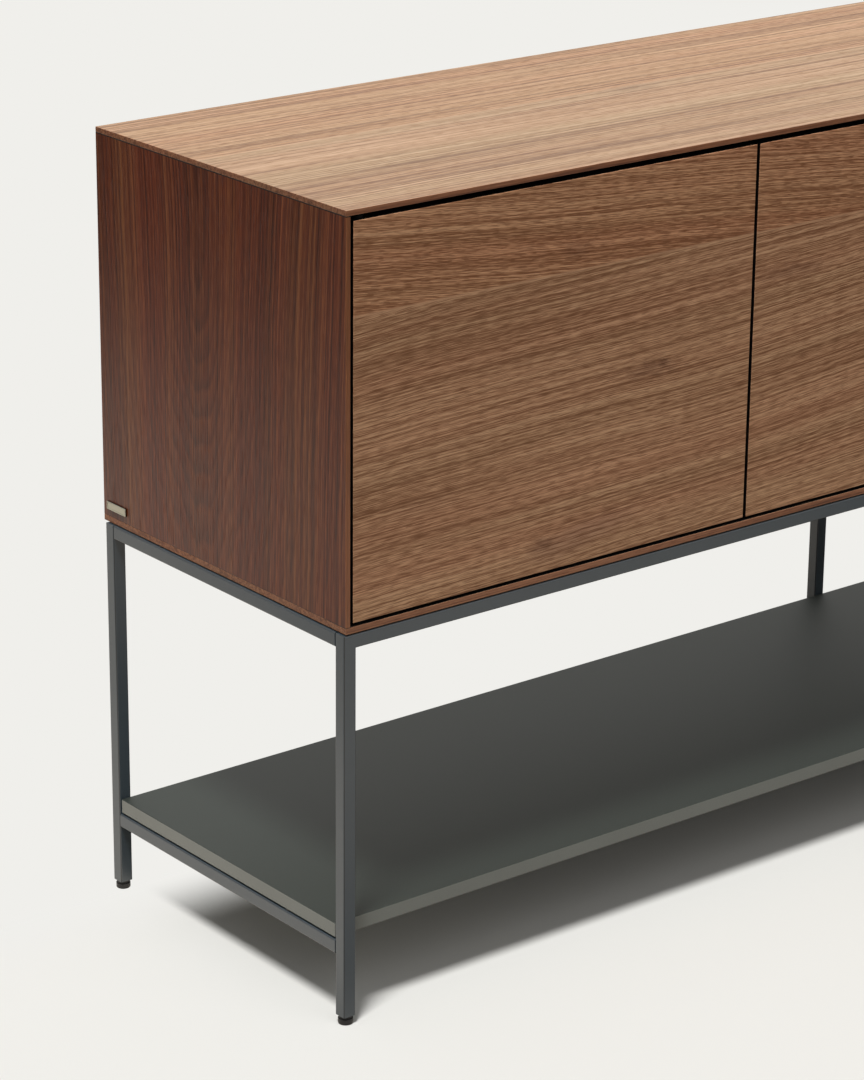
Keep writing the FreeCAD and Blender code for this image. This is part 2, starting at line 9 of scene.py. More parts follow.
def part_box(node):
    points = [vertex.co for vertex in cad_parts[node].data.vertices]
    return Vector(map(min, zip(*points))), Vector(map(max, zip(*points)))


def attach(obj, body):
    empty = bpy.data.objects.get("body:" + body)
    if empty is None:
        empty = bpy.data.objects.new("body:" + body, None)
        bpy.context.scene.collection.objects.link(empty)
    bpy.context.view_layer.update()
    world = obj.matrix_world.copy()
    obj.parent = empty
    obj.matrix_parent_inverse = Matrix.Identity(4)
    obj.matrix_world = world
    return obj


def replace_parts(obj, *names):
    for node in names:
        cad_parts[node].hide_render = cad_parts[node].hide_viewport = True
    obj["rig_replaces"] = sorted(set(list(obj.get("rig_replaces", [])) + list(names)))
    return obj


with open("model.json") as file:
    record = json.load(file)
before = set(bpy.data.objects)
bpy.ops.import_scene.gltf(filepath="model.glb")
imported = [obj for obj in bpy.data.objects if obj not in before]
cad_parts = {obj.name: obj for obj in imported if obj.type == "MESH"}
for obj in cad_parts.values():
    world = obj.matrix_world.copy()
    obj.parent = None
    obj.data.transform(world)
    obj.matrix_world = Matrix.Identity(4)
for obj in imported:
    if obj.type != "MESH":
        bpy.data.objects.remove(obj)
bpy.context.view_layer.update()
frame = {"nodes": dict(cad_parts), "record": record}

bl_info = {
    "name": "Office Credenza",
    "version": (1, 0, 0),
    "blender": (4, 5, 0),
    "location": "3D View > Sidebar > Credenza",
    "description": "Finishes and fittings of a four-door credenza on a tube frame",
    "category": "Object",
}

DOOR_FRONT, DOOR_BACK = (corner[1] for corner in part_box("door_1"))
CABINET_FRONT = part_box("top_panel")[0][1]
CABINET_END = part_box("top_panel")[1][0]
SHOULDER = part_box("centre_divider")[0][1]
BOTTOM_LIP_TOP, TOP_LIP_UNDER = (corner[2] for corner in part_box("left_side_panel"))
SHELF_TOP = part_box("lower_shelf")[1][2]
SIDE_LIP_INNER = -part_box("carcass_edge_bands")[0][0]

DOOR_NODES = ["door_%d" % number for number in range(1, 5)]
INNER_BOARDS = [
    "centre_divider",
    "left_back_panel",
    "right_back_panel",
    "left_interior_shelf",
    "right_interior_shelf",
]
FRAME_NODES = [name for name in frame["nodes"] if name.endswith(("_rail", "_leg"))]
FOOT_NODES = [name for name in frame["nodes"] if name.endswith("_foot")]
PLUNGER_NODES = [name for name in frame["nodes"] if name.startswith("latch_plunger")]
STEEL_NODES = [
    "frame_screws",
    "shelf_pins",
    "rail_set_screws",
    "rail_spigots",
]
HINGE_NODES = ["hinge_brackets", "hinge_washers"]
HINGE_NODES += ["door_%d_pivot_pins" % number for number in range(1, 5)]

# Side plate. Its face stands a little further out than the CAD plate's.
PLATE_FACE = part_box("side_plate")[0][0] - 0.001
PLATE_ROUNDING = 0.0004
PLATE_RIM, PLATE_RIM_SLOPE, PLATE_RECESS = 0.0005, 0.0002, 0.0004
PLATE_SIDES_FROM = 0.0006

# Glide feet. Above the sole, each step goes inwards and then up.
FOOT_RADIUS = 0.0073
FOOT_SOLE_HEIGHT, FOOT_SOLE_ROUNDING = 0.0048, 0.0012
FOOT_STEPS = [(0.0, 0.0008), (0.0007, 0.0), (0.0005, 0.0028), (0.0021, 0.0)]
FOOT_NECK_TOP = 0.0084

# Push latches
PLUNGER_ROUNDING, PLUNGER_RIM, PLUNGER_DIMPLE = 0.0011, 0.0006, 0.0004
HOUSING_WIDTH = 0.016
HOUSING_UNDER_ROUNDING, HOUSING_FRONT_ROUNDING = 0.0035, 0.0007
HOUSING_EDGE_LENGTH = 0.01
BORE_RADIUS, BORE_DEPTH, BORE_PAST_FACE = 0.00355, 0.030, 0.002
DISC_ROUNDING = 0.0004
DISC_RIM, DISC_RIM_SLOPE, DISC_DISH = 0.0032, 0.0010, 0.0003

# Wood screws
SCREW_HEAD_RADIUS, SCREW_SHANK_RADIUS = 0.003, 0.0015
SCREW_HEAD_HEIGHT, SCREW_LENGTH = 0.0015, 0.014
SCREW_HEAD_ROUNDING = 0.0007

# Cross recesses: length, width and depth
DISC_CROSS = (0.0034, 0.0009, 0.0007)
SCREW_CROSS = (0.0036, 0.0008, 0.0009)

# Points nearer to a plane than this lie in it
TOUCH = 1e-5

# Allowances of the masks, so that a rounded edge falls on the right side of them
PANEL_ROUNDING = 0.0003
DOOR_ROUNDING = 0.0005
LIP_ROUNDING = 0.0006
SHELF_ROUNDING = 0.0006
FACE_SLACK = 0.0002
GLUE_LINE = 0.0009

# Colours and relief of the finishes that no setting changes
# Near black laid in the gaps round the doors as painted shade, and in the glue lines of the ends
GAP_SHADE_AND_JOINT_BLACK = (0.004, 0.003, 0.003)
PLATE_BLACK = (0.01, 0.009, 0.008)
KNOT_TINT = (0.42, 0.36, 0.36)
CLOUD_TINT = (0.62, 0.58, 0.66)
PORE_RELIEF, PORE_STRENGTH = 0.00010, 0.6
COAT_RELIEF = 0.00004
METAL_RELIEF = 0.00002

# Knots: along the grain, across it, half length, half width, strength
DOOR_KNOTS = [
    (-0.622, 0.588, 0.050, 0.016, 0.55),
    (-0.606, 0.592, 0.012, 0.008, 0.55),
    (-0.755, 0.438, 0.026, 0.013, 0.60),
    (-0.716, 0.722, 0.030, 0.013, 0.45),
    (-0.440, 0.655, 0.070, 0.012, 0.50),
    (0.310, 0.510, 0.040, 0.014, 0.50),
    (0.820, 0.640, 0.045, 0.013, 0.50),
]
TOP_KNOTS = [(-0.46, 0.02, 0.050, 0.018, 0.35), (0.35, -0.10, 0.045, 0.016, 0.35)]

# Pools of light on the floor: centre, where the fall-off starts and ends, and level
FLOOR_POOLS = [
    ((-0.9, -0.6, 0.0), 0.9, 1.9, 0.80),
    ((-1.25, 1.45, 0.0), 0.45, 1.15, 1.25),
    ((-1.0, 0.2, 0.0), 0.30, 0.75, 1.45),
]
POOL_TINT = (1.0, 0.91, 0.79)
BETWEEN_POOLS = 0.06
BOUNCE_SHARE = 0.4
# Strip of painted shade on the floor in front of the credenza, in what it mirrors and throws: its middle,
# half width and level
SHADE_STRIP_Y, SHADE_STRIP_REACH, SHADE_STRIP_LEVEL = -0.3, 0.45, 0.45
# Where the floor begins to turn into backdrop, where it is all backdrop, and its share before
SWEEP_NEAR, SWEEP_FAR, SWEEP_SHARE = 0.06, 0.18, 0.012
FLOOR_SIZE = 60.0

# Far lamps: the direction that they shine from, and their width in degrees
KEY_TOWARD, KEY_WIDTH = (-0.32, -0.19, 0.93), 12.0
FRONT_TOWARD, FRONT_WIDTH, FRONT_STRENGTH = (0.05, -0.78, 0.62), 50.0, 0.25
# World by height of the direction: two heights, and the levels there
LIGHT_BY_HEIGHT = (0.1, 0.7, 0.5, 1.4)
MIRRORED_BY_HEIGHT = (0.05, 0.5, 0.5, 1.0)


# ------------------------------------------------------------------ properties

def colour_property(name, description, default):
    return bpy.props.FloatVectorProperty(
        name=name, description=description, default=default, subtype="COLOR", size=3, min=0.0,
        max=1.0,
    )


class CredenzaVeneer(bpy.types.PropertyGroup):
    """Colours and figure of the walnut veneer."""

    door_light: colour_property("Door light", "Palest streaks of the doors", (0.74, 0.43, 0.25))
    door_mid: colour_property("Door middle", "Main tone of the doors", (0.535, 0.281, 0.154))
    door_dark: colour_property("Door dark", "Darkest streaks of the doors", (0.26, 0.115, 0.055))
    # The top and bottom use their own copy of the doors' walnut tones, yellower and less red: the walnut's
    # colour with painted sheen
    top_sheen_light: colour_property("Top light", "Palest streaks of the top", (0.675, 0.445, 0.28))
    top_sheen_mid: colour_property("Top middle", "Main tone of the top", (0.497, 0.297, 0.168))
    top_sheen_dark: colour_property("Top dark", "Darkest streaks of the top", (0.22, 0.11, 0.058))
    # The ends use a darker, redder copy of the walnut tones: painted shade on the end faces
    end_shaded_light: colour_property("Side light", "Palest streaks of the ends", (0.28, 0.094, 0.036))
    end_shaded_mid: colour_property("Side middle", "Main tone of the ends", (0.145, 0.034, 0.0135))
    end_shaded_dark: colour_property("Side dark", "Darkest streaks of the ends", (0.048, 0.011, 0.006))
    edge_tint: colour_property("Edge tint", "Tint of the edges of the top and bottom", (0.60, 0.40, 0.32))
    # A bluish tint above 1 on the front edges of the ends: a painted highlight
    lip_painted_highlight: bpy.props.FloatVectorProperty(
        name="Lip tint", description="Tint of the front edges of the ends", default=(1.3, 1.6, 1.8),
        subtype="COLOR", size=3, min=0.0, max=5.0,
    )
    leaf_width: bpy.props.FloatProperty(
        name="Leaf width", description="Width of one leaf of veneer", default=0.30, unit="LENGTH"
    )
    door_leaf_joint: bpy.props.FloatProperty(
        name="Leaf joint", description="Height of the leaf joint in the doors", default=0.701, unit="LENGTH"
    )


class CredenzaFinish(bpy.types.PropertyGroup):
    """Colours of everything that isn't veneer."""

    frame_grey: colour_property("Frame", "Powder coat of the tubes", (0.050, 0.070, 0.086))
    # Near black on the tubes' rounded edges: painted shade and a painted dark reflection along each corner
    frame_corner_painted_shade: colour_property("Frame corner", "Rounded edges of the tubes", (0.004, 0.005, 0.006))
    # The lower shelf is one lacquer in two colours: its top is painted near black as shade under the
    # cabinet, and its edges and underside are a lighter lit copy
    shelf_top_shaded: colour_property("Lower shelf", "Lacquer on its faces", (0.014, 0.020, 0.015))
    shelf_edge_lit: colour_property("Shelf edge", "Lacquer on its edges", (0.235, 0.245, 0.222))
    plate_metal: colour_property("Plate", "Metal of the small side plate", (0.52, 0.51, 0.43))
    foot_black: colour_property("Feet", "Moulded feet", (0.012, 0.012, 0.013))


class CredenzaStage(bpy.types.PropertyGroup):
    """Camera, floor and lamps."""

    camera_place: bpy.props.FloatVectorProperty(
        name="Camera place", description="Where the camera stands", default=(-2.8448, -2.6620, 1.6018),
        subtype="TRANSLATION", size=3,
    )
    camera_azimuth: bpy.props.FloatProperty(
        name="Azimuth", description="Turn of the view round the credenza", default=math.radians(-38.48),
        subtype="ANGLE",
    )
    camera_elevation: bpy.props.FloatProperty(
        name="Elevation", description="Height of the view above the horizon", default=math.radians(19.77),
        subtype="ANGLE",
    )
    camera_roll: bpy.props.FloatProperty(
        name="Roll", description="Tilt of the camera about its view", default=math.radians(0.52),
        subtype="ANGLE",
    )
    camera_lens: bpy.props.FloatProperty(
        name="Lens", description="Focal length", default=120.37, subtype="DISTANCE_CAMERA"
    )
    backdrop: colour_property("Backdrop", "Floor and background", (0.871, 0.863, 0.831))
    floor: colour_property("Floor", "Floor that takes the shadow", (0.838, 0.83, 0.793))
    key: bpy.props.FloatProperty(name="Key", description="Strength of the overhead lamp", default=2.75)
    fill: bpy.props.FloatProperty(name="Fill", description="Strength of the light all round", default=0.16)


# ------------------------------------------------------------------ node helpers

class Bench:
    """Adds nodes to one tree and links them as it goes."""

    def __init__(self, tree):
        self.tree = tree

    def feed(self, socket, value):
        if isinstance(value, bpy.types.NodeSocket):
            self.tree.links.new(value, socket)
        elif socket.type == "RGBA" and len(value) == 3:
            socket.default_value = (*value, 1.0)
        else:
            socket.default_value = value

    def add(self, kind, inputs=None, **settings):
        node = self.tree.nodes.new(kind)
        for name, value in settings.items():
            setattr(node, name, value)
        for key, value in (inputs or {}).items():
            self.feed(node.inputs[key], value)
        return node

    def math(self, operation, a, b=0.0, clamp=False):
        node = self.add("ShaderNodeMath", {0: a, 1: b}, operation=operation, use_clamp=clamp)
        return node.outputs[0]

    def split(self, vector):
        """The X, Y and Z of a vector."""
        return self.add("ShaderNodeSeparateXYZ", {0: vector}).outputs

    def vector(self, x, y, z):
        """A vector from its three parts."""
        return self.add("ShaderNodeCombineXYZ", {0: x, 1: y, 2: z}).outputs[0]

    def scaled(self, vector, scale):
        node = self.add("ShaderNodeVectorMath", {0: vector, 1: scale}, operation="MULTIPLY")
        return node.outputs[0]

    def noise(self, vector, detail=2.0, roughness=0.5):
        node = self.add(
            "ShaderNodeTexNoise",
            {"Vector": vector, "Scale": 1.0, "Detail": detail, "Roughness": roughness},
        )
        return node.outputs["Fac"]

    def ramp(self, value, low, high, out_low=0.0, out_high=1.0, smooth=False):
        node = self.add(
            "ShaderNodeMapRange",
            {"Value": value, "From Min": low, "From Max": high, "To Min": out_low, "To Max": out_high},
            interpolation_type="SMOOTHSTEP" if smooth else "LINEAR",
        )
        return node.outputs["Result"]

    def mix(self, factor, a, b, blend="MIX"):
        node = self.add("ShaderNodeMix", data_type="RGBA", blend_type=blend)
        self.feed(node.inputs[0], factor)
        self.feed(node.inputs[6], a)
        self.feed(node.inputs[7], b)
        return node.outputs[2]

    def tint(self, colour, by):
        """The colour multiplied by another."""
        return self.mix(1.0, colour, by, blend="MULTIPLY")

    def axes(self, vector, order):
        """The same vector with its axes in another order, such as 'XZY'."""
        parts = self.split(vector)
        return self.vector(*(parts[axis] for axis in order))

    def group(self, tree, inputs):
        node = self.tree.nodes.new("ShaderNodeGroup")
        node.node_tree = tree
        for key, value in inputs.items():
            self.feed(node.inputs[key], value)
        return node


def new_group(name, inputs, outputs):
    """An empty node group with the named sockets, its bench, and its input node."""
    tree = bpy.data.node_groups.new(name, "ShaderNodeTree")
    for socket, kind, default in inputs:
        made = tree.interface.new_socket(socket, in_out="INPUT", socket_type="NodeSocket" + kind)
        if default is not None:
            made.default_value = default
    for socket, kind in outputs:
        tree.interface.new_socket(socket, in_out="OUTPUT", socket_type="NodeSocket" + kind)
    source = tree.nodes.new("NodeGroupInput")
    return tree, Bench(tree), source.outputs


def walnut_group():
    """Sliced walnut. X of the vector runs along the grain, Y across it and Z into the board."""
    tree, b, given = new_group(
        "Walnut Figure",
        [
            ("Vector", "Vector", None),
            ("Seed", "Float", 0.0),
            ("Leaf Width", "Float", 0.3),
            ("Leaf Shift", "Float", 0.0),
            ("Slope", "Float", 0.0),
            ("Leaf Slope", "Float", 0.0),
            ("Length", "Float", 1.0),
            ("Swirl", "Float", 0.02),
            ("Ring Width", "Float", 0.012),
            ("Ring Depth", "Float", 0.06),
            ("Taper", "Float", 0.0),
            ("Rings", "Float", 0.2),
            ("Bands", "Float", 1.0),
            ("Streaks", "Float", 1.0),
            ("Fineness", "Float", 0.65),
            ("Lines", "Float", 0.1),
            ("Fibres", "Float", 1.0),
            ("Grain", "Float", 1.0),
            ("Dashes", "Float", 0.0),
            ("Hue", "Float", 0.4),
            ("Pores", "Float", 0.5),
            ("Smudges", "Float", 0.5),
            ("Light", "Color", (0.5, 0.3, 0.2, 1.0)),
            ("Middle", "Color", (0.3, 0.2, 0.1, 1.0)),
            ("Dark", "Color", (0.1, 0.05, 0.03, 1.0)),
        ],
        [("Color", "Color"), ("Roughness", "Float"), ("Height", "Float")],
    )
    along, across, _ = b.split(given["Vector"])

    # Each leaf of veneer comes from its own part of the log
    leaf_place = b.math("DIVIDE", b.math("SUBTRACT", across, given["Leaf Shift"]), given["Leaf Width"])
    leaf = b.math("FLOOR", leaf_place)
    leaf_random = b.add(
        "ShaderNodeTexWhiteNoise", {"W": b.math("ADD", leaf, given["Seed"])}, noise_dimensions="1D"
    )
    offset = b.scaled(leaf_random.outputs["Color"], (7.0, 5.0, 3.0))
    place = b.add("ShaderNodeVectorMath", {0: given["Vector"], 1: offset}, operation="ADD").outputs[0]
    p_along, p_across, p_through = b.split(place)

    def swing(value, amount):
        return b.math("MULTIPLY", b.math("SUBTRACT", value, 0.5), amount)

    # The fibres drift slowly up and down as they run along the board
    wide = swing(b.noise(b.scaled(place, (2.2, 2.6, 2.6)), detail=1.0), given["Swirl"])
    ripple = b.math("MULTIPLY", given["Swirl"], 0.06)
    ripple = swing(b.noise(b.scaled(place, (12.0, 14.0, 14.0)), detail=1.0), ripple)
    slope = b.math("ADD", given["Slope"], b.math("MULTIPLY", leaf, given["Leaf Slope"]))
    bend = b.math("ADD", b.math("ADD", wide, ripple), b.math("MULTIPLY", along, slope))
    bent = b.math("ADD", p_across, bend)
    shortened = b.math("DIVIDE", p_along, given["Length"])
    fibre_place = b.vector(shortened, bent, p_through)

    fine_across = b.math("MULTIPLY", bent, given["Fineness"])
    fine_through = b.math("MULTIPLY", p_through, given["Fineness"])
    thread_place = b.vector(shortened, fine_across, fine_through)
    pore_place = b.vector(p_along, fine_across, fine_through)

    def fibre_noise(lengthwise, crosswise, detail, roughness=0.55, at=fibre_place):
        """Noise with so many grains to the metre along the fibres and across them."""
        return b.noise(b.scaled(at, (lengthwise, crosswise, crosswise)), detail, roughness)

    # Growth rings, cut flat through a tapering log
    from_middle = b.math("SUBTRACT", leaf_place, b.math("ADD", leaf, 0.5))
    side_step = b.math("ADD", b.math("MULTIPLY", from_middle, given["Leaf Width"]), bend)
    wander = b.math("ADD", 0.6, b.noise(b.scaled(place, (1.7, 0.5, 0.5)), detail=1.0))
    depth = b.math("MULTIPLY", given["Ring Depth"], wander)
    depth = b.math("ADD", depth, b.math("MULTIPLY", along, given["Taper"]))
    radius = b.math(
        "SQRT", b.math("ADD", b.math("MULTIPLY", side_step, side_step), b.math("MULTIPLY", depth, depth))
    )
    uneven = b.math("MULTIPLY", fibre_noise(0.9, 20.0, 2.0), 3.0)
    ring_phase = b.math("FRACT", b.math("ADD", b.math("DIVIDE", radius, given["Ring Width"]), uneven))

    def ring_part(start, peak, end):
        """Part of each ring, as a soft hump that is highest at the peak."""
        rise = b.ramp(ring_phase, start, peak, smooth=True)
        fall = b.ramp(ring_phase, peak, end, 1.0, 0.0, smooth=True)
        return b.math("MULTIPLY", rise, fall)

    early_wood = ring_part(0.0, 0.1, 0.4)
    late_wood = ring_part(0.4, 0.88, 1.0)

    band = fibre_noise(1.1, 17.0, 3.0)
    streak = fibre_noise(1.5, 110.0, 3.0, 0.65)
    line = fibre_noise(1.6, 420.0, 1.0, at=thread_place)
    line = b.math("SUBTRACT", b.ramp(line, 0.56, 0.68), b.ramp(line, 0.44, 0.32))
    fibre = fibre_noise(4.0, 560.0, 2.0, 0.8, at=thread_place)
    grain = fibre_noise(60.0, 1100.0, 0.0, at=pore_place)
    dash = b.ramp(fibre_noise(90.0, 1000.0, 0.0, at=pore_place), 0.53, 0.62, smooth=True)
    pore_noise = fibre_noise(70.0, 1200.0, 0.0, at=pore_place)
    pore_low = b.math("SUBTRACT", 0.58, b.math("MULTIPLY", early_wood, 0.1))
    pore = b.ramp(pore_noise, pore_low, 0.7, smooth=True)

    tone = 0.52
    layers = ((band, "Bands", 0.9), (streak, "Streaks", 0.9), (fibre, "Fibres", 1.5), (grain, "Grain", 1.1))
    for layer, amount, weight in layers:
        tone = b.math("ADD", tone, swing(layer, b.math("MULTIPLY", given[amount], weight)))
    tone = b.math("ADD", tone, b.math("MULTIPLY", line, given["Lines"]))
    upper = b.math("LESS_THAN", -0.5, leaf)
    dashes = b.math("MULTIPLY", given["Dashes"], b.ramp(upper, 0.0, 1.0, 0.3, 1.0))
    tone = b.math("SUBTRACT", tone, b.math("MULTIPLY", dash, dashes))
    ring_tone = b.math("SUBTRACT", b.math("MULTIPLY", early_wood, 0.6), late_wood)
    tone = b.math("ADD", tone, b.math("MULTIPLY", ring_tone, given["Rings"]), clamp=True)
    dark_half = b.mix(b.math("MULTIPLY", tone, 2.0, clamp=True), given["Dark"], given["Middle"])
    colour = b.mix(b.ramp(tone, 0.5, 1.0), dark_half, given["Light"])

    # The leaves above the joint at the leaf shift are a little redder than those below it
    leaf_hue = b.mix(upper, (0.98, 1.01, 1.02), (1.08, 0.96, 0.88))
    colour = b.mix(0.5, colour, b.tint(colour, leaf_hue))

    # Redder and yellower streaks
    hue = b.ramp(fibre_noise(1.3, 34.0, 2.0), 0.36, 0.64)
    streak_hue = b.mix(hue, (1.08, 0.92, 0.88), (0.95, 1.06, 0.98))
    colour = b.mix(given["Hue"], colour, b.tint(colour, streak_hue))

    # Soft dark clouds
    cloud = b.noise(b.scaled(fibre_place, (7.0, 15.0, 15.0)), detail=1.0)
    cloud = b.math("MULTIPLY", b.ramp(cloud, 0.60, 0.76, smooth=True), given["Smudges"])
    colour = b.mix(cloud, colour, b.tint(colour, CLOUD_TINT))

    pore_dark = b.math("MULTIPLY", pore, given["Pores"])
    colour = b.mix(pore_dark, colour, b.mix(0.6, colour, given["Dark"]))

    # The joint between two leaves shows as a fine pale line
    seam_gap = b.math("ABSOLUTE", b.math("SUBTRACT", leaf_place, b.math("ROUND", leaf_place)))
    seam = b.ramp(b.math("MULTIPLY", seam_gap, given["Leaf Width"]), 0.0004, 0.0018, 0.55, 0.0)
    colour = b.mix(seam, colour, given["Light"])

    roughness = b.math("ADD", 0.46, b.math("ADD", swing(streak, 0.12), b.math("MULTIPLY", pore, 0.15)))
    height = b.math("SUBTRACT", b.math("MULTIPLY", fibre, 0.4), pore)
    b.add("NodeGroupOutput", {"Color": colour, "Roughness": roughness, "Height": height})
    return tree


def speckle_group():
    """Fine orange-peel of a sprayed or baked coat."""
    tree, b, given = new_group(
        "Coat Texture",
        [("Vector", "Vector", None), ("Grain", "Float", 900.0), ("Color", "Color", (0.1, 0.1, 0.1, 1.0))],
        [("Color", "Color"), ("Roughness", "Float"), ("Height", "Float")],
    )
    size = b.vector(given["Grain"], given["Grain"], given["Grain"])
    peel = b.noise(b.scaled(given["Vector"], size), detail=2.0, roughness=0.6)
    cloud = b.noise(b.scaled(given["Vector"], (9.0, 9.0, 9.0)), detail=3.0, roughness=0.6)
    level = b.math("ADD", b.ramp(peel, 0.3, 0.7, -0.10, 0.10), b.ramp(cloud, 0.3, 0.7, 0.96, 1.04))
    shade = b.add("ShaderNodeCombineColor", {0: level, 1: level, 2: level}).outputs[0]
    colour = b.tint(given["Color"], shade)
    roughness = b.ramp(peel, 0.3, 0.7, 0.42, 0.52)
    b.add("NodeGroupOutput", {"Color": colour, "Roughness": roughness, "Height": peel})
    return tree


# ------------------------------------------------------------------ materials

def start_material(name):
    """A new material, its bench, its shader node and its Object coordinates."""
    material = bpy.data.materials.new(name)
    material.use_nodes = True
    bench = Bench(material.node_tree)
    shader = material.node_tree.nodes["Principled BSDF"]
    place = bench.add("ShaderNodeTexCoord").outputs["Object"]
    return material, bench, shader, place


def bump(bench, height, distance, strength=1.0):
    node = bench.add("ShaderNodeBump", {"Height": height, "Distance": distance, "Strength": strength})
    return node.outputs["Normal"]


def between(bench, value, low, high):
    """1 where the value lies between the limits."""
    above = bench.math("GREATER_THAN", value, low)
    return bench.math("MULTIPLY", above, bench.math("LESS_THAN", value, high))


def knot_group():
    """A soft dark smudge round a small knot, as a mask."""
    tree, b, given = new_group(
        "Knot Smudge",
        [("Vector", "Vector", None), ("Centre", "Vector", None), ("Stretch", "Vector", None)],
        [("Mask", "Float")],
    )
    ends = {0: given["Vector"], 1: given["Centre"]}
    away = b.add("ShaderNodeVectorMath", ends, operation="SUBTRACT").outputs[0]
    ragged = b.noise(b.scaled(given["Vector"], (60.0, 160.0, 0.0)), detail=3.0, roughness=0.7)
    squeezed = b.scaled(away, given["Stretch"])
    far = b.add("ShaderNodeVectorMath", {0: squeezed}, operation="LENGTH").outputs["Value"]
    far = b.math("ADD", far, b.ramp(ragged, 0.25, 0.75, -0.45, 0.45))
    b.add("NodeGroupOutput", {"Mask": b.ramp(far, 0.0, 1.0, 1.0, 0.0, smooth=True)})
    return tree


def with_knots(bench, colour, figure_place, knots):
    """The colour with a soft dark smudge at each knot."""
    for along, across, half_length, half_width, strength in knots:
        spot = bench.group(
            group_named("Knot Smudge", knot_group),
            {
                "Vector": bench.scaled(figure_place, (1.0, 1.0, 0.0)),
                "Centre": (along, across, 0.0),
                "Stretch": (1.0 / half_length, 1.0 / half_width, 1.0),
            },
        )
        dark = bench.tint(colour, KNOT_TINT)
        colour = bench.mix(bench.math("MULTIPLY", spot.outputs["Mask"], strength), colour, dark)
    return colour


def walnut(
    name, group, order, tones, black_where=None, edge_where=None, edge=None, gloss=0.22, polish=0.0,
    knots=(), **values,
):
    """Satin lacquered walnut. The order names the axes along, across and through the grain.

    black_where and edge_where take the bench and the coordinates, and return 1 on the faces
    that are painted near black, as painted shade in the gaps round the doors and as glue lines,
    and on those that take the edge colour as a tint, a painted highlight on the ends' front
    edges. Each knot is its place along and across the grain, its half length, its half width
    and its strength.
    """
    material, bench, shader, place = start_material(name)
    inputs = {"Vector": bench.axes(place, order), "Light": tones[0], "Middle": tones[1], "Dark": tones[2]}
    inputs |= {key.replace("_", " ").title(): value for key, value in values.items()}
    figure = bench.group(group, inputs)
    colour = with_knots(bench, figure.outputs["Color"], inputs["Vector"], knots)
    x, y, z = bench.split(place)
    # The edge colour tints the outer edges of the top and bottom, and lays a painted highlight on the front
    # edges of the ends
    if edge_where:
        colour = bench.mix(edge_where(bench, x, y, z), colour, bench.tint(colour, edge))
    if black_where:
        # Painted shade: near black in the gaps round the doors, and the glue lines
        colour = bench.mix(black_where(bench, x, y, z), colour, GAP_SHADE_AND_JOINT_BLACK)
    bench.feed(shader.inputs["Base Color"], colour)
    bench.feed(shader.inputs["Roughness"], bench.math("SUBTRACT", figure.outputs["Roughness"], polish))
    relief = bump(bench, figure.outputs["Height"], PORE_RELIEF, PORE_STRENGTH)
    bench.feed(shader.inputs["Normal"], relief)
    shader.inputs["Specular IOR Level"].default_value = gloss
    return material


def outer_edges(bench, x, y, z):
    """The narrow outer edges of the top and bottom panels, but not their two faces."""
    ends = bench.math("GREATER_THAN", bench.math("ABSOLUTE", x), CABINET_END - PANEL_ROUNDING)
    return bench.math("MAXIMUM", ends, bench.math("LESS_THAN", y, CABINET_FRONT + PANEL_ROUNDING))


def lip_highlight_where(bench, x, y, z):
    """The front edge of a side panel, which takes a painted cool highlight."""
    return bench.math("LESS_THAN", y, CABINET_FRONT + PANEL_ROUNDING)


def door_edges_shade(bench, x, y, z):
    """The four edges of a door, between its front and back faces, painted near black as shade in the gap
    round the door.
    """
    return between(bench, y, DOOR_FRONT + DOOR_ROUNDING, DOOR_BACK - DOOR_ROUNDING)


def behind_lip(bench, y):
    """From just behind the front edges back to the shoulder that the doors close on."""
    return between(bench, y, CABINET_FRONT + LIP_ROUNDING, SHOULDER + FACE_SLACK)


# Painted shade under the top lip, in the gap above the doors
def shade_under_top_lip(bench, x, y, z):
    low = bench.math("LESS_THAN", z, TOP_LIP_UNDER + FACE_SLACK)
    return bench.math("MULTIPLY", behind_lip(bench, y), low)


# Painted shade on the bottom lip, in the gap below the doors
def shade_over_bottom_lip(bench, x, y, z):
    high = bench.math("GREATER_THAN", z, BOTTOM_LIP_TOP - FACE_SLACK)
    return bench.math("MULTIPLY", behind_lip(bench, y), high)


def lip_shade_and_glue_line(bench, x, y, z):
    """The inner face of a side lip, painted near black as shade in the gap beside the doors, and the glue
    line where the side meets the top and bottom.
    """
    inner = bench.math("LESS_THAN", bench.math("ABSOLUTE", x), SIDE_LIP_INNER + FACE_SLACK)
    lip = bench.math("MULTIPLY", behind_lip(bench, y), inner)
    clear = between(bench, z, BOTTOM_LIP_TOP + LIP_ROUNDING, TOP_LIP_UNDER - GLUE_LINE)
    return bench.math("MAXIMUM", lip, bench.math("SUBTRACT", 1.0, clear))


def painted_corner_shade_mask(bench):
    """0 on faces square to an axis, and 1 where a rounded edge is halfway between two of them. It places
    painted shade on rounded edges.
    """
    normal = bench.add("ShaderNodeTexCoord").outputs["Normal"]
    x, y, z = (bench.math("ABSOLUTE", part) for part in bench.split(normal))
    largest = bench.math("MAXIMUM", x, bench.math("MAXIMUM", y, z))
    return bench.ramp(largest, 0.78, 0.97, 1.0, 0.0, smooth=True)


def plate_sides(bench, x, y, z):
    """The sides of the small plate, behind its face and rim."""
    return bench.math("GREATER_THAN", x, PLATE_FACE + PLATE_SIDES_FROM)


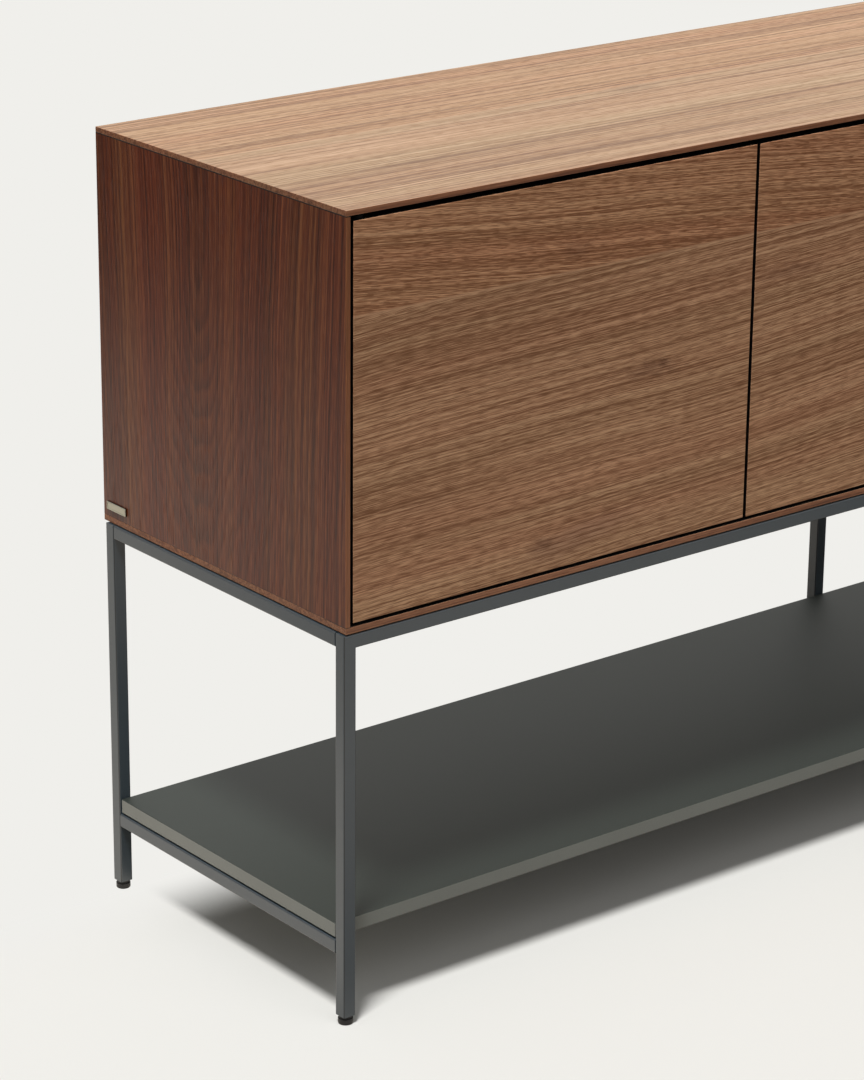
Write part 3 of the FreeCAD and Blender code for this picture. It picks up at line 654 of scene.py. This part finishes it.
def coated(
    name, group, colour, grain, specular, roughness_shift=0.0, edge_below=None, edge=None, corner=None,
):
    """Sprayed or baked coat of one colour.

    Below the given height it takes the edge colour, a lighter lit copy beside the painted shade of the face
    above. On rounded edges it takes the corner colour, a painted shade and painted dark reflection.
    """
    material, bench, shader, place = start_material(name)
    if corner is not None:
        # Painted shade and painted dark reflection on the rounded edges
        colour = bench.mix(painted_corner_shade_mask(bench), colour, corner)
    # Below the top: a lighter lit copy of the coat, beside the painted shade above
    if edge_below is not None:
        below = bench.math("LESS_THAN", bench.split(place)[2], edge_below - SHELF_ROUNDING)
        colour = bench.mix(below, colour, edge)
    coat = bench.group(group, {"Vector": place, "Grain": grain, "Color": colour})
    roughness = bench.math("ADD", coat.outputs["Roughness"], roughness_shift)
    bench.feed(shader.inputs["Base Color"], coat.outputs["Color"])
    bench.feed(shader.inputs["Roughness"], roughness)
    bench.feed(shader.inputs["Normal"], bump(bench, coat.outputs["Height"], COAT_RELIEF))
    shader.inputs["Specular IOR Level"].default_value = specular
    return material


def metal(name, group, colour, stretch, roughness_shift, black_where=None):
    """Metal with fine lines along one axis, blackened where wanted."""
    material, bench, shader, place = start_material(name)
    if black_where:
        x, y, z = bench.split(place)
        colour = bench.mix(black_where(bench, x, y, z), colour, PLATE_BLACK)
    lines = bench.group(group, {"Vector": bench.scaled(place, stretch), "Grain": 1.0, "Color": colour})
    roughness = bench.math("ADD", lines.outputs["Roughness"], roughness_shift)
    bench.feed(shader.inputs["Base Color"], lines.outputs["Color"])
    bench.feed(shader.inputs["Roughness"], roughness)
    bench.feed(shader.inputs["Normal"], bump(bench, lines.outputs["Height"], METAL_RELIEF))
    shader.inputs["Metallic"].default_value = 1.0
    return material


def dress(names, material):
    """Give each CAD node its finish."""
    for name in names:
        part = bpy.data.objects[name]
        if not part.material_slots:
            part.data.materials.append(material)
        for slot in part.material_slots:
            slot.material = material


def group_named(name, maker):
    return bpy.data.node_groups.get(name) or maker()


def fitting_finish(name):
    """A finish of the fittings, made the first time it is asked for."""
    if name in bpy.data.materials:
        return bpy.data.materials[name]
    look = bpy.context.scene.credenza_finish
    coat = group_named("Coat Texture", speckle_group)
    makers = {
        "moulded_black": lambda: coated(name, coat, look.foot_black, 1800.0, 0.5),
        "black_edging": lambda: coated(name, coat, (0.004, 0.004, 0.004), 900.0, 0.1, 0.3),
        "moulded_grey": lambda: coated(name, coat, (0.22, 0.22, 0.23), 1500.0, 0.5),
        "dowel_wood": lambda: coated(name, coat, (0.55, 0.40, 0.25), 400.0, 0.3, 0.2),
        "bright_zinc": lambda: metal(name, coat, (0.62, 0.63, 0.65), (900.0, 900.0, 900.0), -0.12),
        "brushed_plate": lambda: metal(
            name, coat, look.plate_metal, (500.0, 60.0, 2500.0), -0.10, plate_sides
        ),
    }
    return makers[name]()


# ------------------------------------------------------------------ modelling helpers

BODY_OF = {
    node: body for body, nodes in frame["record"]["behaviour"]["bodies"].items() for node in nodes
}


def leave_edit_mode():
    """Back to object mode, with nothing selected."""
    if bpy.context.mode != "OBJECT":
        bpy.ops.object.mode_set(mode="OBJECT")
    bpy.ops.object.select_all(action="DESELECT")


def select_only(piece):
    leave_edit_mode()
    bpy.context.view_layer.objects.active = piece
    piece.select_set(True)


def start_piece(name, primitive, **settings):
    """A primitive at its place and size, with nothing else selected."""
    leave_edit_mode()
    primitive(**settings)
    piece = bpy.context.object
    piece.name = name
    bpy.ops.object.transform_apply(location=True, rotation=True, scale=True)
    return piece


def rod(name, radius, start, end, vertices=32):
    """A cylinder whose axis runs from start to end."""
    start, end = Vector(start), Vector(end)
    turn = (end - start).to_track_quat("Z", "Y").to_euler()
    return start_piece(
        name, bpy.ops.mesh.primitive_cylinder_add, vertices=vertices, radius=radius,
        depth=(end - start).length, location=(start + end) / 2, rotation=turn,
    )


def pick_faces(piece, wanted):
    """Edit the piece with only the faces selected whose centre and normal pass the test."""
    select_only(piece)
    bpy.context.tool_settings.mesh_select_mode = (False, False, True)
    for part in [*piece.data.vertices, *piece.data.edges]:
        part.select = False
    for face in piece.data.polygons:
        face.select = bool(wanted(face.center, face.normal))
    bpy.ops.object.mode_set(mode="EDIT")


def pick_edges(piece, wanted):
    """Edit the piece with only the edges selected whose two ends pass the test."""
    select_only(piece)
    bpy.context.tool_settings.mesh_select_mode = (False, True, False)
    points = piece.data.vertices
    for part in [*points, *piece.data.polygons]:
        part.select = False
    for edge in piece.data.edges:
        edge.select = bool(wanted(*(points[i].co for i in edge.vertices)))
    bpy.ops.object.mode_set(mode="EDIT")


def round_edges(piece, wanted, radius, segments=3):
    pick_edges(piece, wanted)
    bpy.ops.mesh.bevel(offset=radius, segments=segments, affect="EDGES")


def push_faces(offset):
    """Extrude the selected faces by an offset."""
    bpy.ops.mesh.extrude_region_move(TRANSFORM_OT_translate={"value": offset})


def cut_away(piece, cutter):
    """Take the cutter's shape out of the piece."""
    select_only(piece)
    cut = piece.modifiers.new("cut", "BOOLEAN")
    cut.operation = "DIFFERENCE"
    cut.object = cutter
    cut.solver = "EXACT"
    bpy.ops.object.modifier_apply(modifier="cut")
    bpy.data.objects.remove(cutter)


def cut_cross(piece, centre, length, width, depth):
    """A cross recess in a face square to Y, round the centre."""
    for size in ((length, 2.0 * depth, width), (width, 2.0 * depth, length)):
        bar = start_piece(
            "cross_bar", bpy.ops.mesh.primitive_cube_add, size=1.0, scale=size, location=centre
        )
        cut_away(piece, bar)


def moved_copy(piece, name, offset):
    leave_edit_mode()
    copy = piece.copy()
    copy.data = piece.data.copy()
    copy.name = name
    copy.data.transform(Matrix.Translation(offset))
    bpy.context.scene.collection.objects.link(copy)
    return copy


def joined(name, pieces):
    leave_edit_mode()
    for piece in pieces:
        piece.select_set(True)
    bpy.context.view_layer.objects.active = pieces[0]
    bpy.ops.object.join()
    pieces[0].name = name
    return pieces[0]


def hand_over(piece, finish, slot, *nodes):
    """Give the piece its finish, and let it stand for its CAD nodes. The slot is not used."""
    select_only(piece)
    bpy.ops.object.shade_smooth_by_angle(angle=math.radians(35.0))
    piece.data.materials.clear()
    piece.data.materials.append(fitting_finish(finish))
    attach(piece, BODY_OF[nodes[0]])
    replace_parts(piece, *nodes)


def head_centres(node, y):
    """The centres of the screw heads of a node whose outer faces lie at this y."""
    heads = []
    for vertex in bpy.data.objects[node].data.vertices:
        if abs(vertex.co.y - y) < TOUCH:
            near = [head for head in heads if (head[0] - vertex.co).length < 2.2 * SCREW_HEAD_RADIUS]
            if near:
                near[0].append(vertex.co.copy())
            else:
                heads.append([vertex.co.copy()])
    return [
        Vector((min(p[i] for p in head) + max(p[i] for p in head)) / 2 for i in range(3))
        for head in heads
    ]


def middle_of(node):
    low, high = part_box(node)
    return (low + high) / 2


def make_plunger(number, node):
    """A plunger with a rounded tip that is a little hollow."""
    tip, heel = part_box(node)
    axis = middle_of(node)
    front, back = Vector((axis.x, tip.y, axis.z)), Vector((axis.x, heel.y, axis.z))
    plunger = rod("rounded_plunger_%d" % number, (heel.x - tip.x) / 2, back, front)
    round_edges(plunger, lambda a, b: max(a.y, b.y) < tip.y + TOUCH, PLUNGER_ROUNDING, 5)
    pick_faces(plunger, lambda centre, normal: normal.y < -0.99 and centre.y < tip.y + TOUCH)
    bpy.ops.mesh.inset(thickness=PLUNGER_RIM)
    push_faces((0.0, PLUNGER_DIMPLE, 0.0))
    hand_over(plunger, "moulded_grey", "grey_nylon", node)


def make_home(axis):
    """A latch housing over the axis of its plunger, bored from the front."""
    low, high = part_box("latch_housings")
    size = Vector((HOUSING_WIDTH, high.y - low.y, high.z - low.z))
    place = Vector((axis.x, (low.y + high.y) / 2, (low.z + high.z) / 2))
    home = start_piece(
        "latch_home", bpy.ops.mesh.primitive_cube_add, size=1.0, scale=size, location=place
    )

    def long_under_edge(a, b):
        return abs(a.y - b.y) > HOUSING_EDGE_LENGTH and a.z < place.z

    round_edges(home, long_under_edge, HOUSING_UNDER_ROUNDING, 6)
    round_edges(home, lambda a, b: max(a.y, b.y) < low.y + TOUCH, HOUSING_FRONT_ROUNDING, 2)
    deep, outside = low.y + BORE_DEPTH, low.y - BORE_PAST_FACE
    bore = rod("bore", BORE_RADIUS, (axis.x, deep, axis.z), (axis.x, outside, axis.z))
    cut_away(home, bore)
    return home


def make_disc(number):
    """A dished strike disc with a cross recess, on the back of its door."""
    node = "strike_plate_%d" % number
    low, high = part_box(node)
    centre = middle_of(node)
    start, end = Vector((centre.x, low.y, centre.z)), Vector((centre.x, high.y, centre.z))
    disc = rod("dished_disc_%d" % number, (high.x - low.x) / 2, start, end, vertices=48)
    round_edges(disc, lambda a, b: min(a.y, b.y) > high.y - TOUCH, DISC_ROUNDING)
    pick_faces(disc, lambda middle, normal: normal.y > 0.99 and middle.y > high.y - TOUCH)
    bpy.ops.mesh.inset(thickness=DISC_RIM)
    bpy.ops.mesh.inset(thickness=DISC_RIM_SLOPE)
    push_faces((0.0, -DISC_DISH, 0.0))
    cut_cross(disc, end, *DISC_CROSS)
    hand_over(disc, "bright_zinc", "bare_steel", node)


# ------------------------------------------------------------------ operators

class CREDENZA_OT_veneer(bpy.types.Operator):
    """Lay walnut veneer on the cabinet, the doors and the boards inside"""

    bl_idname = "credenza.veneer"
    bl_label = "Veneer"

    def execute(self, context):
        look = context.scene.credenza_veneer
        figure = group_named("Walnut Figure", walnut_group)
        doors = (look.door_light, look.door_mid, look.door_dark)
        # The same walnut as the doors, with painted sheen in its yellower tones
        top_sheen_tones = (look.top_sheen_light, look.top_sheen_mid, look.top_sheen_dark)
        # The ends take the darker, redder copy of the tones as painted shade
        ends = (look.end_shaded_light, look.end_shaded_mid, look.end_shaded_dark)
        level = walnut(
            "walnut_doors", figure, "XZY", doors, door_edges_shade, leaf_width=look.leaf_width,
            leaf_shift=look.door_leaf_joint, seed=3.0, slope=0.10, leaf_slope=0.14, swirl=0.03,
            length=1.8, rings=0.12, bands=0.6, streaks=0.5, fineness=1.05, lines=0.20, fibres=1.8,
            grain=1.1, dashes=0.34, pores=1.0, smudges=0.5, hue=0.22, knots=DOOR_KNOTS,
        )
        flat = {
            "seed": 11.0, "leaf_width": 0.21, "leaf_shift": 0.03, "swirl": 0.015, "length": 3.0,
            "rings": 0.08, "bands": 0.55, "streaks": 0.5, "fineness": 0.55, "lines": 0.22, "fibres": 1.5,
            "grain": 0.4, "dashes": 0.14, "pores": 0.5, "smudges": 0.2, "hue": 0.25, "gloss": 0.6,
            "edge_where": outer_edges, "edge": look.edge_tint, "knots": TOP_KNOTS,
        }
        top = walnut("walnut_top", figure, "XYZ", top_sheen_tones, shade_under_top_lip, **flat)
        base = walnut("walnut_base", figure, "XYZ", top_sheen_tones, shade_over_bottom_lip, **flat)
        # The ends' front edges take a painted cool highlight
        ends_shaded_veneer = walnut(
            "walnut_ends_shaded", figure, "ZYX", ends, lip_shade_and_glue_line, lip_highlight_where, look.lip_painted_highlight, gloss=0.45,
            polish=0.16, leaf_width=0.46, leaf_shift=-0.20, seed=5.0, swirl=0.05, length=8.0,
            ring_width=0.009, ring_depth=0.16, taper=-0.2, rings=0.16, bands=0.8, streaks=0.5, fineness=0.85,
            lines=0.22, fibres=1.3, grain=0.5, dashes=0.05, pores=0.3, smudges=0.2, hue=0.9,
        )
        inner = walnut(
            "walnut_inside", figure, "XYZ", doors, leaf_width=0.25, seed=21.0, swirl=0.03, fibres=0.8
        )
        dress(DOOR_NODES, level)
        dress(["top_panel"], top)
        dress(["bottom_panel"], base)
        dress(["left_side_panel", "right_side_panel"], ends_shaded_veneer)
        dress(INNER_BOARDS, inner)
        return {"FINISHED"}


class CREDENZA_OT_frame(bpy.types.Operator):
    """Coat the tube frame and the lower shelf"""

    bl_idname = "credenza.frame"
    bl_label = "Frame and lower shelf"

    def execute(self, context):
        look = context.scene.credenza_finish
        coat = group_named("Coat Texture", speckle_group)
        # The tubes' rounded edges take painted shade and painted dark reflection in the corner colour
        tubes = coated(
            "powder_coat", coat, look.frame_grey, 1400.0, 0.95, -0.12, corner=look.frame_corner_painted_shade
        )
        dress(FRAME_NODES, tubes)
        # Top in painted shade, edges and underside in a lighter lit copy of the lacquer
        shelf = coated(
            "shelf_lacquer", coat, look.shelf_top_shaded, 2200.0, 0.80, 0.08,
            edge_below=SHELF_TOP, edge=look.shelf_edge_lit,
        )
        dress(["lower_shelf"], shelf)
        return {"FINISHED"}


class CREDENZA_OT_fittings(bpy.types.Operator):
    """Finish the hinge parts, the small fixings and the edge bands"""

    bl_idname = "credenza.fittings"
    bl_label = "Fittings"

    def execute(self, context):
        dress(["leg_inserts", "shelf_pads", "frame_spacers"], fitting_finish("moulded_black"))
        dress(["carcass_edge_bands"] + HINGE_NODES, fitting_finish("black_edging"))
        dress(["carcass_dowels"], fitting_finish("dowel_wood"))
        dress(STEEL_NODES, fitting_finish("bright_zinc"))
        return {"FINISHED"}


class CREDENZA_OT_side_plate(bpy.types.Operator):
    """Model the small plate on the left end, with a raised rim round its face"""

    bl_idname = "credenza.side_plate"
    bl_label = "Side plate"

    def execute(self, context):
        low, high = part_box("side_plate")
        low.x = PLATE_FACE
        plate = start_piece(
            "rimmed_side_plate", bpy.ops.mesh.primitive_cube_add, size=1.0, scale=high - low,
            location=(low + high) / 2,
        )
        round_edges(plate, lambda a, b: max(a.x, b.x) < PLATE_FACE + TOUCH, PLATE_ROUNDING)
        pick_faces(plate, lambda centre, normal: normal.x < -0.99 and centre.x < PLATE_FACE + TOUCH)
        bpy.ops.mesh.inset(thickness=PLATE_RIM)
        bpy.ops.mesh.inset(thickness=PLATE_RIM_SLOPE)
        push_faces((PLATE_RECESS, 0.0, 0.0))
        hand_over(plate, "brushed_plate", "champagne_metal", "side_plate")
        return {"FINISHED"}


class CREDENZA_OT_feet(bpy.types.Operator):
    """Model one screw-in glide and copy it under each leg"""

    bl_idname = "credenza.feet"
    bl_label = "Feet"

    def execute(self, context):
        first = FOOT_NODES[0]
        stud_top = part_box(first)[1].z
        base = Vector((middle_of(first).x, middle_of(first).y, 0.0))
        sole_top = base + Vector((0.0, 0.0, FOOT_SOLE_HEIGHT))
        foot = rod("glide", FOOT_RADIUS, base, sole_top, vertices=48)
        # Rounded sole, then the shoulder of the pad, the narrower neck and the stud
        round_edges(foot, lambda a, b: max(a.z, b.z) < TOUCH, FOOT_SOLE_ROUNDING, 5)
        pick_faces(foot, lambda centre, normal: normal.z > 0.9)
        for inset, rise in FOOT_STEPS:
            if inset:
                bpy.ops.mesh.inset(thickness=inset)
            if rise:
                push_faces((0.0, 0.0, rise))
        push_faces((0.0, 0.0, stud_top - FOOT_NECK_TOP))
        hand_over(foot, "moulded_black", "black_nylon", first)
        for node in FOOT_NODES[1:]:
            copy = moved_copy(foot, "glide_" + node, middle_of(node) - middle_of(first))
            # The copy stands for its own node and not for the first one
            del copy["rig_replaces"]
            hand_over(copy, "moulded_black", "black_nylon", node)
        return {"FINISHED"}


class CREDENZA_OT_latches(bpy.types.Operator):
    """Model the push latches above the doors and the discs they press on"""

    bl_idname = "credenza.latches"
    bl_label = "Push latches"

    def execute(self, context):
        homes = []
        for number, plunger_node in enumerate(PLUNGER_NODES, start=1):
            make_plunger(number, plunger_node)
            homes.append(make_home(middle_of(plunger_node)))
            make_disc(number)
        hand_over(joined("latch_homes", homes), "moulded_grey", "grey_nylon", "latch_housings")
        return {"FINISHED"}


class CREDENZA_OT_screws(bpy.types.Operator):
    """Model one cross-recessed wood screw and copy it to every place"""

    bl_idname = "credenza.screws"
    bl_label = "Wood screws"

    def execute(self, context):
        low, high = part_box("wood_screws")
        screws = []
        for face, outward in ((low.y, -1.0), (high.y, 1.0)):
            places = head_centres("wood_screws", face)
            out = Vector((0.0, outward, 0.0))
            first = places[0]
            screw = rod("screw", SCREW_HEAD_RADIUS, first - out * SCREW_HEAD_HEIGHT, first, vertices=24)

            def head_rim(a, b):
                return min(a.y * outward, b.y * outward) > face * outward - TOUCH

            round_edges(screw, head_rim, SCREW_HEAD_ROUNDING)
            pick_faces(screw, lambda centre, normal: normal.y * outward < -0.99)
            bpy.ops.mesh.inset(thickness=SCREW_HEAD_RADIUS - SCREW_SHANK_RADIUS)
            push_faces(-out * (SCREW_LENGTH - SCREW_HEAD_HEIGHT))
            cut_cross(screw, first, *SCREW_CROSS)
            screws.append(screw)
            screws += [moved_copy(screw, "screw", place - first) for place in places[1:]]
        hand_over(joined("cross_recess_screws", screws), "bright_zinc", "zinc_plated_steel", "wood_screws")
        return {"FINISHED"}


def sun(name, toward, strength, angle):
    """A far lamp that shines from the given direction."""
    bpy.ops.object.light_add(type="SUN", location=Vector(toward) * 3.0)
    lamp = bpy.context.object
    lamp.name = name
    lamp.data.energy = strength
    lamp.data.angle = math.radians(angle)
    lamp.rotation_euler = Vector(toward).to_track_quat("Z", "Y").to_euler()
    return lamp


def looked_at(bench):
    """1 for what the camera sees, directly or in glossy and clear surfaces."""
    path = bench.add("ShaderNodeLightPath").outputs
    glossy = bench.math("MAXIMUM", path["Is Glossy Ray"], path["Is Transmission Ray"])
    return bench.math("MAXIMUM", path["Is Camera Ray"], glossy)


def backdrop_material(colour, backdrop):
    """Pale floor that takes the shadow of the credenza.

    The camera sees it pale all over. Satin surfaces mirror it as pools of light, some of them
    brighter than white, that fade with the distance. It throws less light on the credenza than a
    floor this pale would.
    """
    material, bench, shader, place = start_material("studio_floor")
    shader.inputs["Base Color"].default_value = (*colour, 1.0)
    shader.inputs["Roughness"].default_value = 1.0
    shader.inputs["Specular IOR Level"].default_value = 0.0
    path = bench.add("ShaderNodeLightPath").outputs
    level = BETWEEN_POOLS
    for centre, near, far, brightest in FLOOR_POOLS:
        distance = bench.add("ShaderNodeVectorMath", {0: place, 1: centre}, operation="DISTANCE")
        away = distance.outputs["Value"]
        pool = bench.ramp(away, near, far, brightest, BETWEEN_POOLS, smooth=True)
        level = bench.math("MAXIMUM", level, pool)
    mirrored = bench.ramp(path["Is Glossy Ray"], 0.0, 1.0, BOUNCE_SHARE, 1.0)
    level = bench.math("MULTIPLY", level, mirrored)
    y = bench.split(place)[1]
    # Painted shade in a strip in front of the credenza
    from_shade_strip = bench.math("ABSOLUTE", bench.math("ADD", y, -SHADE_STRIP_Y))
    shade_strip = bench.ramp(from_shade_strip, 0.0, SHADE_STRIP_REACH, SHADE_STRIP_LEVEL, 1.0, smooth=True)
    level = bench.math("MULTIPLY", level, shade_strip)
    shade = bench.mix(level, (0.0, 0.0, 0.0), POOL_TINT)
    pools = bench.add("ShaderNodeBsdfDiffuse", {"Color": shade})
    # Towards the back the floor runs into the backdrop
    back = bench.ramp(y, SWEEP_NEAR, SWEEP_FAR, SWEEP_SHARE, 1.0, smooth=True)
    sweep = bench.add("ShaderNodeEmission", {"Color": backdrop, "Strength": 1.0})
    pale = bench.add("ShaderNodeMixShader", {0: back, 1: shader.outputs[0], 2: sweep.outputs[0]})
    both = bench.add(
        "ShaderNodeMixShader", {0: path["Is Camera Ray"], 1: pools.outputs[0], 2: pale.outputs[0]}
    )
    bench.feed(material.node_tree.nodes["Material Output"].inputs["Surface"], both.outputs[0])
    return material


class CREDENZA_OT_stage(bpy.types.Operator):
    """Set up the floor, the lamps, the world and the camera"""

    bl_idname = "credenza.stage"
    bl_label = "Stage"

    def execute(self, context):
        scene = context.scene
        look = scene.credenza_stage
        bpy.ops.object.select_all(action="DESELECT")
        bpy.ops.mesh.primitive_plane_add(size=FLOOR_SIZE, location=(0, 0, 0))
        floor = context.object
        floor.name = "studio_floor"
        floor.data.materials.append(backdrop_material(look.floor, tuple(look.backdrop)))

        world = scene.world or bpy.data.worlds.new("studio")
        scene.world = world
        world.use_nodes = True
        world.node_tree.nodes.clear()
        b = Bench(world.node_tree)
        # The light all round comes mostly from high up
        upward = b.split(b.add("ShaderNodeTexCoord").outputs["Generated"])[2]
        level = b.math("MULTIPLY", b.ramp(upward, *LIGHT_BY_HEIGHT), look.fill)
        light = b.add("ShaderNodeBackground", {"Color": (1.0, 1.0, 1.0), "Strength": level})
        # Satin faces mirror it a little darker near the horizon
        camera_ray = b.add("ShaderNodeLightPath").outputs["Is Camera Ray"]
        brightness = b.math("MAXIMUM", camera_ray, b.ramp(upward, *MIRRORED_BY_HEIGHT))
        seen = b.add("ShaderNodeBackground", {"Color": tuple(look.backdrop), "Strength": brightness})
        both = b.add("ShaderNodeMixShader", {0: looked_at(b), 1: light.outputs[0], 2: seen.outputs[0]})
        b.add("ShaderNodeOutputWorld", {"Surface": both.outputs[0]})

        sun("overhead_key", KEY_TOWARD, look.key, KEY_WIDTH)
        sun("front_fill", FRONT_TOWARD, FRONT_STRENGTH, FRONT_WIDTH)

        lens = bpy.data.cameras.new("camera")
        lens.lens = look.camera_lens
        lens.sensor_width = 36.0
        camera = bpy.data.objects.new("camera", lens)
        scene.collection.objects.link(camera)
        turn = Euler((math.pi / 2 - look.camera_elevation, 0.0, look.camera_azimuth)).to_matrix()
        turn = turn @ Matrix.Rotation(look.camera_roll, 3, "Z")
        camera.matrix_world = Matrix.Translation(look.camera_place) @ turn.to_4x4()
        scene.camera = camera
        scene.view_settings.view_transform = "Standard"
        return {"FINISHED"}


class CREDENZA_PT_parts(bpy.types.Panel):
    """Lists the steps that finish the credenza"""

    bl_idname = "CREDENZA_PT_parts"
    bl_label = "Credenza"
    bl_space_type = "VIEW_3D"
    bl_region_type = "UI"
    bl_category = "Credenza"

    def draw(self, context):
        for step in STEPS:
            self.layout.operator(step.bl_idname)
        for group in ("credenza_veneer", "credenza_finish", "credenza_stage"):
            settings = getattr(context.scene, group)
            for name in settings.__annotations__:
                self.layout.prop(settings, name)


GROUPS = {
    "credenza_veneer": CredenzaVeneer,
    "credenza_finish": CredenzaFinish,
    "credenza_stage": CredenzaStage,
}
STEPS = [
    CREDENZA_OT_veneer,
    CREDENZA_OT_frame,
    CREDENZA_OT_fittings,
    CREDENZA_OT_side_plate,
    CREDENZA_OT_feet,
    CREDENZA_OT_latches,
    CREDENZA_OT_screws,
    CREDENZA_OT_stage,
]


def register():
    for kind in [*GROUPS.values(), *STEPS, CREDENZA_PT_parts]:
        bpy.utils.register_class(kind)
    for name, kind in GROUPS.items():
        setattr(bpy.types.Scene, name, bpy.props.PointerProperty(type=kind))


def unregister():
    for name in GROUPS:
        delattr(bpy.types.Scene, name)
    for kind in reversed([*GROUPS.values(), *STEPS, CREDENZA_PT_parts]):
        bpy.utils.unregister_class(kind)


def main():
    register()
    bpy.ops.credenza.veneer()
    bpy.ops.credenza.frame()
    bpy.ops.credenza.fittings()
    bpy.ops.credenza.side_plate()
    bpy.ops.credenza.feet()
    bpy.ops.credenza.latches()
    bpy.ops.credenza.screws()
    bpy.ops.credenza.stage()


if __name__ == "__main__":
    main()
